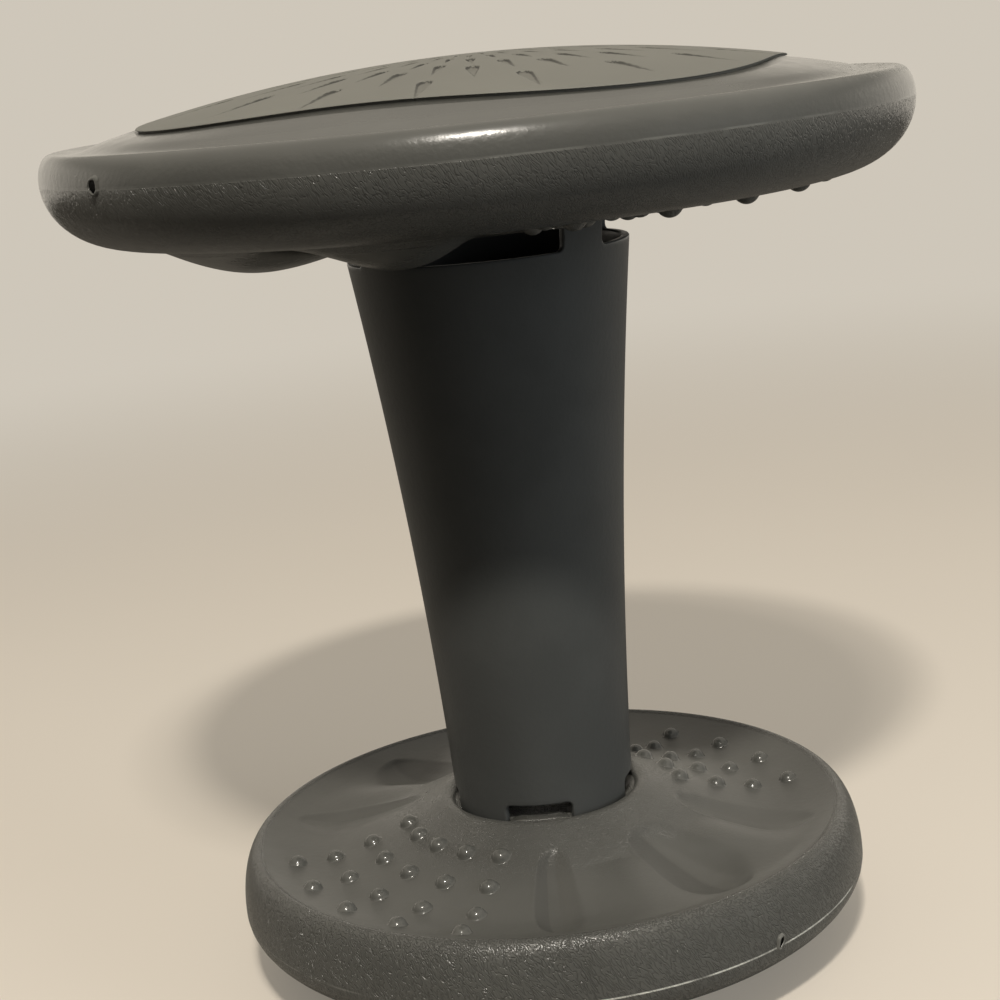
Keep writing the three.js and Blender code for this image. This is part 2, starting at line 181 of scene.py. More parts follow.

# A painted highlight on the flash of a parting line, broken up and strongest on the side that faces +X, where the
# light falls.
flashLook = {"edge": (0.0001, 0.0005), "broken": (0.42, 0.58), "side": (-0.03, 0.02), "gain": 7}

# Dust and scuffs where hands take hold of the seat's top edge.
dustLook = {"side": (0.108, 0.150), "specks": (0.46, 0.74), "rise": 0.003, "strength": 0.36, "colour": 0.42}
peelFade = 0.006


# A noise drawn out along slanting lines: the place turns about the axis with the height, so it has no seam.
def ridgeHeight(tree, place, height, grain, seed):
    slanted = tree.add("ShaderNodeVectorRotate", {"rotation_type": "Z_AXIS"},
                       {"Vector": place, "Angle": height * grain["slant"]})
    drawn = tree.vectors("MULTIPLY", slanted, (1.0, 1.0, grain["stretch"]))
    wander = tree.noise(place, 140.0, 1.5, seed=seed, output="Color")
    bent = tree.vectors("MULTIPLY_ADD", wander, (0.0012, 0.0012, 0.0008), drawn)
    ridges = tree.noise(bent, 0.5 / grain["spacing"], 0.0)
    fine = tree.noise(bent, 1.1 / grain["spacing"], 1.0)
    crease = tree.maths("ABSOLUTE", ridges - 0.5)
    return tree.step(crease, 0.0, 0.10) * 0.75 + fine * 0.5


# Grey blown plastic, smooth but for its bands of grain.
def blownPlastic(name, tint, grain=None, partingHeight=None, flashHighlightStrength=0.0, peelTop=None, look=plasticLook,
                 seed=0.0):
    material, tree, shader = newMaterial(name)
    place = tree.add("ShaderNodeTexCoord", output=3)
    side, _, height = tree.parts(place)
    blotches = tree.noise(place, 16.0, 4.0, 0.6, seed)
    smears = tree.noise(place, 90.0, 3.0, 0.7, seed + 3.1)
    peel = tree.noise(place, 480.0)
    if peelTop is not None:
        peel = peel * (1 - tree.step(height, peelTop - peelFade, peelTop))
    base = look["colour"]
    tone = tree.mixed(tree.step(blotches, 0.35, 0.65), tinted(base - look["colourSpread"], tint),
                      tinted(base + look["colourSpread"], tint))
    # painted shade on the scoops' steep sides and floors, read from the mesh's recess attribute
    recess = tree.add("ShaderNodeAttribute", {"attribute_name": "recess"}, output=2)
    tone = tree.mixed(recess, tone, tinted(base * look["recessShade"], tint))
    roughness = look["smoothRoughness"] + (smears - 0.5) * 0.16 + (blotches - 0.5) * 0.10
    ripple = tree.add("ShaderNodeBump", inputs={"Strength": 0.5, "Distance": look["ripple"], "Height": blotches})
    normal = tree.add("ShaderNodeBump", inputs={"Strength": 0.8, "Distance": look["orangePeel"], "Height": peel,
                                                "Normal": ripple})
    if grain is not None:
        low, high, fade = grain["band"]
        mask = tree.step(height, low, low + fade) * (1 - tree.step(height, high - fade, high))
        if "hub" in grain:
            radius = tree.vectors("LENGTH", tree.vectors("MULTIPLY", place, (1.0, 1.0, 0.0))).sibling(1)
            mask = mask * tree.step(radius, grain["innerRadius"], grain["innerRadius"] + 0.002)
            mask = tree.maths("MAXIMUM", mask, tree.step(height, *grain["hub"]) * grain["hubStrength"])
        ridges = ridgeHeight(tree, place, height, grain, seed) * mask
        roughness = roughness + mask * (look["grainRoughness"] - look["smoothRoughness"])
        # painted shade in the creases of the grain
        tone = tree.mixed(mask * 0.5 * (1 - ridges), tone, tinted(base * look["grainShade"], tint))
        normal = tree.add("ShaderNodeBump", inputs={"Strength": 1.0, "Distance": grain["depth"], "Height": ridges,
                                                    "Normal": normal})
    if partingHeight is not None:
        # painted highlight along the parting line's flash
        line = 1 - tree.step(tree.maths("ABSOLUTE", height - partingHeight), *flashLook["edge"])
        broken = tree.noise(place, 45.0)
        flashHighlight = (0.2 + tree.step(broken, *flashLook["broken"])) * (0.15 + tree.step(side, *flashLook["side"]))
        tone = tree.mixed(line * flashHighlightStrength * flashHighlight, tone, tinted(base * flashLook["gain"], tint))
    if peelTop is not None:
        specks = tree.noise(place, 420.0, 5.0, 0.75)
        dusty = tree.step(side, *dustLook["side"]) * tree.step(specks, *dustLook["specks"])
        dusty = dusty * tree.step(height, peelTop - dustLook["rise"], peelTop)
        tone = tree.mixed(dusty * dustLook["strength"], tone, tinted(dustLook["colour"], tint))
        roughness = roughness + dusty * 0.3
    feed(tree, shader, {"Base Color": tone, "Roughness": roughness, "Normal": normal, "IOR": 1.47})
    return material


padLook = {
    "colour": 0.168,
    "tint": (1.0, 0.99, 0.87),
    "roughness": 0.60,
    "fineGrain": 0.0005,
    "fineDepth": 0.00005,
    "sunk": (0.22, 0.25),       # painted shade: how much a stroke's floor darkens, and how dark it can get
    "edge": (0.85, 0.12),       # the same for its steep side
}

# Strokes of the pads: drop-shaped recesses on radial lines, round at the inner end and fading outwards.
# Each entry is (odd line, inner radius, outer radius, half width) in millimetres.
seatStrokes = ((0, 91, 119, 3.1), (1, 69, 95, 2.9), (0, 59, 83, 2.5), (1, 46, 64, 2.1), (0, 38, 53, 1.8),
               (1, 29, 41, 1.5), (0, 22, 33, 1.2))
baseStrokes = ((0, 52, 72, 2.2), (1, 40, 57, 1.8), (0, 30, 44, 1.5))
strokeLines = 36
strokeFirst = math.radians(0.9)
strokeTurn = 2 * math.pi / strokeLines
strokeShape = {
    "headSlope": 4.5,               # how soon the round head reaches its full width
    "swell": 1.1,
    "fadePower": 0.45,
    "sideWidth": 0.0006,            # over which the recess reaches its depth
    "edge": (0.0, 0.0002, 0.0005, 0.0010),      # where the dark line along the side begins and ends
}


# How deep each place lies in a stroke, and how much it belongs to a stroke's steep side. The same sums
# serve the mesh and the material, as both kinds of tree share these nodes.
def strokeFields(tree, place, strokes):
    x, y, _ = tree.parts(place)
    radius = tree.maths("SQRT", x * x + y * y)
    turned = tree.maths("ARCTAN2", y, x) + (2 * math.pi - strokeFirst)
    line = tree.maths("ROUND", turned / strokeTurn)
    aside = tree.maths("ABSOLUTE", radius * tree.maths("SINE", turned - line * strokeTurn))
    odd = tree.maths("FLOORED_MODULO", line, 2.0)
    depth = side = None
    for parity, inner, outer, halfWidth in strokes:
        along = (radius - inner * mm) / ((outer - inner) * mm)
        head = tree.maths("MINIMUM", tree.maths("MAXIMUM", along * strokeShape["headSlope"], 0.0), 1.0)
        full = strokeShape["swell"] * halfWidth * mm
        width = (1 - along) * tree.maths("SQRT", head * (2 - head)) * full - aside
        fade = tree.maths("POWER", tree.maths("MAXIMUM", 1 - along, 0.0), strokeShape["fadePower"])
        fade = fade * (odd if parity else 1 - odd)
        sunk = tree.step(width, 0.0, strokeShape["sideWidth"]) * fade
        edge = tree.step(width, *strokeShape["edge"][:2]) * (1 - tree.step(width, *strokeShape["edge"][2:])) * fade
        depth = sunk if depth is None else tree.maths("MAXIMUM", depth, sunk)
        side = edge if side is None else tree.maths("MAXIMUM", side, edge)
    return depth, side


def padPlastic(name, strokes):
    look = padLook
    sunkShare, sunkShade = look["sunk"]
    edgeShare, edgeShade = look["edge"]
    material, tree, shader = newMaterial(name)
    place = tree.add("ShaderNodeTexCoord", output=3)
    blotches = tree.noise(place, 22.0, 5.0)
    specks = tree.noise(place, 0.5 / look["fineGrain"])
    tone = tree.mixed(tree.step(blotches, 0.3, 0.7), tinted(look["colour"] * 0.94, look["tint"]),
                      tinted(look["colour"] * 1.06, look["tint"]))
    # painted shade in the strokes: their floors darker, their steep sides darkest
    depth, side = strokeFields(tree, place, strokes)
    tone = tree.mixed(depth * sunkShare, tone, tinted(look["colour"] * sunkShade, look["tint"]))
    tone = tree.mixed(side * edgeShare, tone, tinted(look["colour"] * edgeShade, look["tint"]))
    roughness = look["roughness"] + (blotches - 0.5) * 0.2
    normal = tree.add("ShaderNodeBump", inputs={"Strength": 0.6, "Distance": look["fineDepth"],
                                                "Height": specks})
    feed(tree, shader, {"Base Color": tone, "Roughness": roughness, "Normal": normal, "IOR": 1.47})
    return material


# Lofted meshes: rows of rings, each closed round the axis, and a pole at either end.

def polar(radius, azimuth, height):
    radius, azimuth, height = np.broadcast_arrays(radius, azimuth, height)
    return np.stack([radius * np.cos(azimuth), radius * np.sin(azimuth), height], -1)


def loftMesh(name, rows, poles=(None, None), closed=False):
    rows = np.asarray(rows)
    rowCount, columnCount = rows.shape[:2]
    points = rows.reshape(-1, 3)
    k, i = np.meshgrid(np.arange(rowCount if closed else rowCount - 1), np.arange(columnCount), indexing="ij")
    following = (k + 1) % rowCount
    beside = (i + 1) % columnCount
    quads = np.stack([k * columnCount + i, k * columnCount + beside, following * columnCount + beside,
                      following * columnCount + i], -1).reshape(-1, 4)
    faces = quads.tolist()
    around = np.arange(columnCount)
    for end, pole in enumerate(poles):
        if pole is None:
            continue
        tip = len(points)
        points = np.vstack([points, [pole]])
        first = (rowCount - 1) * columnCount if end else 0
        a = first + around
        b = first + (around + 1) % columnCount
        fan = np.stack([a, b, np.full(columnCount, tip)], -1) if end else \
            np.stack([b, a, np.full(columnCount, tip)], -1)
        faces += fan.tolist()
    mesh = bpy.data.meshes.new(name)
    mesh.from_pydata((points * mm).tolist(), [], faces)
    mesh.shade_smooth()
    return mesh


def newObject(name, mesh, material):
    piece = bpy.data.objects.new(name, mesh)
    mainCollection.objects.link(piece)
    mesh.materials.clear()
    mesh.materials.append(material)
    return piece


# The moulded face of a disc: dish, lobes and scoops, as a rise above the plane of its crest.

sectorMiddle = 310.0             # degrees, the middle of a sector of lobes and scoops

# Lengths are in millimetres. A lobe has its place and its half width in degrees. A scoop has its place, the
# reach of its crisp edge and the widths of its steep side and of its floor, all in degrees, then its depth in
# millimetres and how much painted shade darkens its steep side and its floor. A mirrored face belongs to the seat and
# looks down.
baseFace = {
    "crest": 117.8, "valley": 93.0, "valleyDepth": 6.1, "hub": 42.0, "hubRise": 11.0,
    "lobeFlat": 62.0, "lobeEnd": 108.0, "lobeRise": 1.0, "lobes": ((-18.5, 11.0), (18.5, 11.0)),
    "lobePower": 1.5, "lobeDroop": 0.0, "scoopMiddle": 81.0, "scoopHalf": 27.0,
    "scoops": ((-38.0, 8.0, 3.5, 9.5, 2.6, 0.42, 0.14), (-2.0, 9.0, 10.0, 15.0, 3.0, 0.32, 0.0),
               (36.0, 8.0, 4.0, 12.0, 1.6, 0.1, 0.0)),
    "mirrored": False,
}

seatFace = {
    "crest": 134.4, "valley": 112.0, "valleyDepth": -0.6, "hub": 62.45, "hubRise": 7.6,
    "lobeFlat": 91.0, "lobeEnd": 129.5, "lobeRise": 13.3, "lobes": ((-22.0, 12.4), (19.5, 15.6)),
    "lobePower": 0.8, "lobeDroop": 4.5, "scoopMiddle": 98.0, "scoopHalf": 31.0,
    "scoops": tuple((place, 7.0, 5.0, 9.0, 4.2, 0.0, 0.0) for place in (-45.0, -2.0, 45.0)),
    "mirrored": True,
}

discSteps = {"plain": 0.82, "close": 0.36, "closeReach": 4.5, "change": 3}      # degrees


def smooth(share):
    share = np.clip(share, 0, 1)
    return share * share * (3 - 2 * share)


# Azimuths of a disc's columns of faces, closer together at the crisp edges of its scoops.
def discAzimuths(face):
    def distance(angle):
        turned = (180 - angle) if face["mirrored"] else angle
        offset = (turned - sectorMiddle + 90) % 180 - 90
        return min(abs(offset - place + reach * 0.55) for place, reach, *_ in face["scoops"])
    angles = [0.0]
    while angles[-1] < 360:
        near = smooth((distance(angles[-1]) - discSteps["closeReach"]) / discSteps["change"])
        angles.append(angles[-1] + discSteps["close"] + (discSteps["plain"] - discSteps["close"]) * float(near))
    return np.radians(np.array(angles[:-1]) * 360 / angles[-1])


def dishRise(face, radius):
    outer = (radius - face["valley"]) / (face["crest"] - face["valley"])
    inner = np.clip((face["valley"] - radius) / (face["valley"] - face["hub"]), 0, 1)
    return np.where(radius >= face["valley"], face["valleyDepth"] * (outer ** 2 - 1),
                    (face["hubRise"] + face["valleyDepth"]) * inner ** 1.5 - face["valleyDepth"])


def turnedFrom(azimuth, middle):
    return (np.degrees(azimuth) - middle + 90) % 180 - 90


# How far a place lies past a scoop's crisp edge, in degrees; the edge bows like an arch from hub to rim.
def pastEdge(face, radius, azimuth, offset, reach):
    along = (radius - face["scoopMiddle"]) / face["scoopHalf"]
    chord = np.sqrt(np.clip(1 - np.abs(along) ** np.where(along < 0, 7, 2), 0, 1))     # blunt towards the hub
    return turnedFrom(azimuth, sectorMiddle + offset) + reach * chord, chord


def faceRise(face, radius, azimuth):
    if face["mirrored"]:
        azimuth = np.pi - azimuth
    dish = dishRise(face, radius)
    outward = np.clip((radius - face["lobeFlat"]) / (face["lobeEnd"] - face["lobeFlat"]), 0, 1)
    fall = outward ** 2 if face["mirrored"] else (1 - np.cos(np.pi * outward)) / 2
    lobeTop = face["lobeRise"] + (dishRise(face, np.float64(face["lobeEnd"])) - face["lobeRise"]) * fall
    inward = np.clip((face["lobeFlat"] - radius) / (face["lobeFlat"] - face["hub"]), 0, 1)
    lobeTop = lobeTop - face["lobeDroop"] * inward ** 2     # a drooping lobe hangs like half a pear
    inside = smooth((radius / face["hub"] - 1) / 0.06)
    rise = dish
    for offset, halfWidth in face["lobes"]:
        away = np.abs(turnedFrom(azimuth, sectorMiddle + offset)) / halfWidth
        lobe = np.cos(np.pi / 2 * np.clip(away / 1.2, 0, 1)) ** face["lobePower"] * inside
        rise = rise + lobe * np.maximum(lobeTop - dish, 0)
    for offset, reach, wallWidth, floorWidth, depth, _, _ in face["scoops"]:
        past, chord = pastEdge(face, radius, azimuth, offset, reach)
        share = past / np.maximum(chord, 0.15)
        wall = np.clip(share / wallWidth, 0, 1)
        floor = np.clip(1 - (share - wallWidth) / floorWidth, 0, 1)
        lip = np.exp(-(past / 0.8) ** 2) * chord ** 3
        rise = rise - depth * chord ** 0.7 * wall * smooth(1.4 * floor) + 0.16 * lip
    return rise


# Notes on the mesh where to paint shade: the steep sides and the floors of the scoops, which lie in shade.
def shadeScoops(mesh, face, lowest):
    places = np.empty(len(mesh.vertices) * 3)
    mesh.vertices.foreach_get("co", places)
    x, y, z = places.reshape(-1, 3).T / mm
    shade = np.zeros(len(x))
    for offset, reach, wallWidth, floorWidth, _, wallShade, floorShade in face["scoops"]:
        past, chord = pastEdge(face, np.hypot(x, y), np.arctan2(y, x), offset, reach)
        share = past / (wallWidth * np.maximum(chord, 0.15))
        end = 1 + floorWidth / wallWidth
        steep = wallShade * smooth(share / 0.12) * smooth((1.15 - share) / 0.2) * smooth(chord * 2 - 0.4)
        low = floorShade * smooth(share / 0.12) * smooth((end - share) / 0.5) * smooth(chord * 3)
        shade = np.maximum(shade, np.maximum(steep, low))
    mesh.attributes.new("recess", "FLOAT", "POINT").data.foreach_set("value", shade * (z > lowest))


def arcPoints(centre, radii, start, end, count):
    angles = np.radians(np.linspace(start, end, count))
    return [(centre[0] + radii[0] * math.cos(t), centre[1] + radii[1] * math.sin(t)) for t in angles]


def plainRows(points, azimuths):
    return [polar(r, azimuths, z) for r, z in points]


def outlineRadius(side, corner, cornerAzimuth, azimuths):
    return side + (corner - side) * (1 + np.cos(4 * (azimuths - math.radians(cornerAzimuth)))) / 2


rockerRadius, rockerFlat = 369, 28
crownRadius, crownTop = 577, 355.56
basePadOutline = (78.0, 85.0, 61.0)       # side, corner, azimuth of a corner
seatPadOutline = (115.6, 129.0, 119.0)
padGap = 0.4


def rockerHeight(radius):
    return (radius ** 2 - rockerFlat ** 2) / (2 * rockerRadius)


def crownHeight(radius):
    return crownTop - radius ** 2 / (2 * crownRadius)


# The four rows of a parting line: a narrow ridge, wider at its foot.
def flashRows(radius, height, foot, top, azimuths):
    return plainRows([(radius - 0.03, height - foot), (radius, height - top), (radius, height + top),
                      (radius - 0.03, height + foot)], azimuths)


print("base shell")
baseSizes = {
    "parting": 29.86, "crest": 52.46, "rim": 126.0, "under": 101.0, "underDrop": 15.7,
    "bedRise": 4.3, "soleRise": 1.4, "lip": 3.6, "grooveOut": 36.43, "grooveIn": 31.8, "grooveFloor": 46.85,
    "bossDrop": 1.2,
}
baseCollarTop = baseSizes["crest"] + baseFace["hubRise"]


def buildBaseShell():
    size = baseSizes
    rim, parting, crest, lip, floor = (size[key] for key in ("rim", "parting", "crest", "lip", "grooveFloor"))
    azimuths = discAzimuths(baseFace)
    padEdge = outlineRadius(*basePadOutline, azimuths) + padGap
    rows = [polar(share * padEdge, azimuths, rockerHeight(share * padEdge) + size["bedRise"]) for share in (0.5, 1.0)]
    rows += [polar(padEdge + d, azimuths, rockerHeight(padEdge + d) + size["soleRise"]) for d in (0.0, 0.4, 4.0)]
    rows += plainRows(arcPoints((size["under"], parting), (rim - size["under"], size["underDrop"]), -90, -3, 12),
                      azimuths)
    rows += flashRows(rim, parting, 0.3, 0.1, azimuths)
    rows += plainRows(arcPoints((baseFace["crest"], parting), (rim - baseFace["crest"], crest - parting), 3, 90, 16),
                      azimuths)
    rows += [polar(r, azimuths, crest + faceRise(baseFace, np.full(len(azimuths), r), azimuths))
             for r in np.linspace(baseFace["crest"], baseFace["hub"], 96)[1:]]
    # the collar, the groove that takes the column's foot and the boss inside it
    rows += plainRows(arcPoints((size["grooveOut"] + lip, baseCollarTop - lip), (lip, lip), 90, 180, 7), azimuths)
    rows += plainRows([(size["grooveOut"], floor + 0.05), (size["grooveOut"] - 0.13, floor),
                       (size["grooveIn"] + 0.2, floor), (size["grooveIn"], floor + 0.15),
                       (size["grooveIn"], baseCollarTop - size["bossDrop"] - 0.6),
                       (size["grooveIn"] - 0.6, baseCollarTop - size["bossDrop"])], azimuths)
    top = (0, 0, baseCollarTop - size["bossDrop"])
    bottom = (0, 0, rockerHeight(0) + size["bedRise"])
    return loftMesh("base_shell_skin", rows, (bottom, top))


baseMaterial = blownPlastic("basePlastic", discTint, baseGrain, baseSizes["parting"] * mm, 0.7, look=matteLook,
                            seed=1.3)
baseShineMaterial = blownPlastic("baseBumpPlastic", discTint, look=shinyLook, seed=1.3)
baseShell = newObject("base_shell_skin", buildBaseShell(), baseMaterial)
shadeScoops(baseShell.data, baseFace, 40)

print("seat shell")
seatSizes = {
    "under": 300.2, "parting": 325.2, "crest": 335.66, "rim": 163.0, "bead": 5.5,
    "bossDrop": 1.2, "lip": 3.6, "grooveIn": 53.0, "grooveOut": 58.05, "grooveFloor": 306.2,
    "shoulder": 138.0, "troughWidth": 19.0, "troughDepth": 0.9, "skinDrop": 1.1, "bedDrop": 4.3,
}


def buildSeatShell():
    size = seatSizes
    rim, parting, under, lip, floor = (size[key] for key in ("rim", "parting", "under", "lip", "grooveFloor"))
    azimuths = discAzimuths(seatFace)
    padEdge = outlineRadius(*seatPadOutline, azimuths) + padGap
    collarTop = under - seatFace["hubRise"]
    bossTop = collarTop + size["bossDrop"]
    rows = plainRows([(size["grooveIn"] - 1, bossTop), (size["grooveIn"], bossTop + 0.6), (size["grooveIn"], floor),
                      (size["grooveOut"], floor), (size["grooveOut"], collarTop + 4)], azimuths)
    rows += plainRows(arcPoints((size["grooveOut"] + lip, collarTop + lip), (lip, lip), 180, 270, 7)[:-1], azimuths)
    rows += [polar(r, azimuths, under - faceRise(seatFace, np.full(len(azimuths), r), azimuths))
             for r in np.linspace(seatFace["hub"], seatFace["crest"], 84)[:-1]]
    rows += plainRows(arcPoints((seatFace["crest"], parting), (rim - seatFace["crest"], parting - under),
                                -90, -2, 20), azimuths)
    rows += flashRows(rim, parting, 0.25, 0.08, azimuths)
    beadMiddle = rim - size["bead"]
    rows += plainRows(arcPoints((beadMiddle, parting), (size["bead"], size["crest"] - parting), 4, 90, 14), azimuths)
    # a shallow trough inside the bead, which runs into the shoulder round the pad
    troughRadii = np.linspace(beadMiddle - 1, size["shoulder"], 10)
    dip = np.sin(np.pi * np.clip((beadMiddle - troughRadii) / size["troughWidth"], 0, 1))
    trough = size["crest"] - size["troughDepth"] * dip
    shoulder = crownHeight(troughRadii) - size["skinDrop"]
    blend = smooth((troughRadii - size["shoulder"]) / 14)
    rows += plainRows(zip(troughRadii, shoulder * (1 - blend) + trough * blend), azimuths)
    for share in (0.66, 0.33, 0.0):
        radius = padEdge + (size["shoulder"] - 1 - padEdge) * share
        rows += [polar(radius, azimuths, crownHeight(radius) - size["skinDrop"])]
    rows += [polar(share * padEdge, azimuths, crownHeight(share * padEdge) - size["bedDrop"])
             for share in (0.998, 0.5)]
    return loftMesh("seat_shell_skin", rows, ((0, 0, bossTop), (0, 0, crownHeight(0) - size["bedDrop"])))


seatMaterial = blownPlastic("seatPlastic", discTint, seatGrain, seatSizes["parting"] * mm, 0.06,
                            peelTop=seatSizes["crest"] * mm - 0.0005, seed=4.2)
seatShell = newObject("seat_shell_skin", buildSeatShell(), seatMaterial)

print("column")
columnSizes = {
    "foot": 47.2, "top": 306.1, "wall": 3.2, "footRadius": 35.4, "middleRadius": 38.9, "topRadius": 57.6,
    "middle": 170.0, "footNotch": (68.2, 26.4), "topNotch": (282.9, 62.0), "corner": 2.4, "lip": 0.8,
    "sideAngle": 35.0,
}


def columnRadius(height):
    share = (height - columnSizes["foot"]) / (columnSizes["top"] - columnSizes["foot"])
    return (columnSizes["footRadius"] * (1 - share) ** 2 + 2 * columnSizes["middleRadius"] * share * (1 - share)
            + columnSizes["topRadius"] * share ** 2)


# One eighth of an end's edge, from the middle of a notch to the middle of a tooth, then mirrored:
# each point has its angle and height at the end, and its angle halfway down the tube.
def notchedEdge(endHeight, notchHeight, notchWidth):
    corner = columnSizes["corner"]
    half = math.degrees(math.asin(notchWidth / 2 / columnRadius(notchHeight)))
    cornerAngle = math.degrees(corner / columnRadius(notchHeight))
    toothCorner = 0.6 * corner
    toothAngle = math.degrees(toothCorner / columnRadius(endHeight))
    way = 1 if notchHeight > endHeight else -1
    fillet = np.radians(np.linspace(0, 90, 7))[1:]
    sideStart, sideEnd = notchHeight - way * corner, endHeight + way * toothCorner
    points = [(a, notchHeight) for a in np.linspace(0, half - cornerAngle, 14)]
    points += [(half - cornerAngle * (1 - math.sin(t)), notchHeight - way * corner * (1 - math.cos(t)))
               for t in fillet]
    turn = len(points)
    points += [(half, sideStart + (sideEnd - sideStart) * s) for s in np.linspace(0, 1, 9)[1:]]
    points += [(half + toothAngle * (1 - math.cos(t)), sideEnd - way * toothCorner * math.sin(t)) for t in fillet]
    points += [(a, endHeight) for a in np.linspace(half + toothAngle, 45, 14)[1:]]
    middles = np.concatenate([np.linspace(0, columnSizes["sideAngle"], turn),
                              np.linspace(columnSizes["sideAngle"], 45, len(points) - turn + 1)[1:]])
    eighth = np.column_stack([np.array(points), middles])
    back = eighth[-2:0:-1] * (-1, 1, -1) + (90, 0, 90)
    quarter = np.vstack([eighth, back])
    whole = np.vstack([quarter + (85 + 90 * q, 0, 85 + 90 * q) for q in range(4)])
    return np.radians(whole[:, 0]), whole[:, 1], np.radians(whole[:, 2])


# Rows of the outer wall from halfway down the tube to one end, with the rounded lip and the inner wall.
def endRows(angles, heights, middleAngles, rowCount):
    lip, wall = columnSizes["lip"], columnSizes["wall"]
    arc = np.stack([angles * columnRadius(heights), heights], 1)
    along = np.roll(arc, -1, 0) - np.roll(arc, 1, 0)
    along[[0, -1]] = along[[1, -2]]
    along /= np.linalg.norm(along, axis=1, keepdims=True)
    inward = np.stack([-along[:, 1], along[:, 0]], 1)
    if heights.mean() > columnSizes["middle"]:
        inward = -inward
    lipAngle = inward[:, 0] * lip / columnRadius(heights)
    lipHeight = inward[:, 1] * lip
    shares = smooth(np.linspace(0, 1, rowCount)) * 0.3 + np.linspace(0, 1, rowCount) * 0.7
    outer = []
    for share in shares:
        height = columnSizes["middle"] + (heights + lipHeight - columnSizes["middle"]) * share
        angle = middleAngles + (angles + lipAngle - middleAngles) * share
        outer.append((angle, height, 0.0))
    turned = [(angles + lipAngle * (1 - math.sin(t)), heights + lipHeight * (1 - math.sin(t)),
               lip * (1 - math.cos(t))) for t in np.radians(np.linspace(0, 90, 5))[1:]]
    inner = [(a, h, wall - d) for a, h, d in reversed(outer + turned)]
    return [polar(columnRadius(h) - d, a, h) for a, h, d in outer + turned + inner[:-1]]


def buildColumn():
    foot = endRows(*notchedEdge(columnSizes["foot"], *columnSizes["footNotch"]), 48)
    top = endRows(*notchedEdge(columnSizes["top"], *columnSizes["topNotch"]), 60)
    return loftMesh("column_tube", top + foot[:0:-1], closed=True)


columnMaterial = blownPlastic("columnPlastic", columnTint, look=columnLook, seed=7.7)
column = newObject("column_tube", buildColumn(), columnMaterial)


# Geometry Nodes: a tree with named inputs, run once on a piece and baked into its mesh.

socketKinds = ((bpy.types.Object, "NodeSocketObject"), (bpy.types.Material, "NodeSocketMaterial"),
               (int, "NodeSocketInt"), (float, "NodeSocketFloat"))


def geometryTree(name, inputs):
    group = bpy.data.node_groups.new(name, "GeometryNodeTree")
    group.interface.new_socket("Geometry", in_out="INPUT", socket_type="NodeSocketGeometry")
    group.interface.new_socket("Geometry", in_out="OUTPUT", socket_type="NodeSocketGeometry")
    for label, value in inputs.items():
        kind = next(kind for sort, kind in socketKinds if isinstance(value, sort))
        group.interface.new_socket(label, in_out="INPUT", socket_type=kind)
    tree = Tree(group)
    start = group.nodes.new("NodeGroupInput")
    fields = {socket.name: Field(tree, socket) for socket in start.outputs if socket.name}
    return group, tree, fields


def baked(piece, group, values, material):
    modifier = piece.modifiers.new(group.name, "NODES")
    modifier.node_group = group
    for item in group.interface.items_tree:
        if item.item_type == "SOCKET" and item.in_out == "INPUT" and item.name in values:
            modifier[item.identifier] = values[item.name]
    evaluated = piece.evaluated_get(bpy.context.evaluated_depsgraph_get())
    mesh = bpy.data.meshes.new_from_object(evaluated)
    mesh.name = piece.name
    mesh.materials.clear()
    mesh.materials.append(material)
    piece.modifiers.remove(modifier)
    old = piece.data
    piece.data = mesh
    bpy.data.meshes.remove(old)


print("grip bumps")


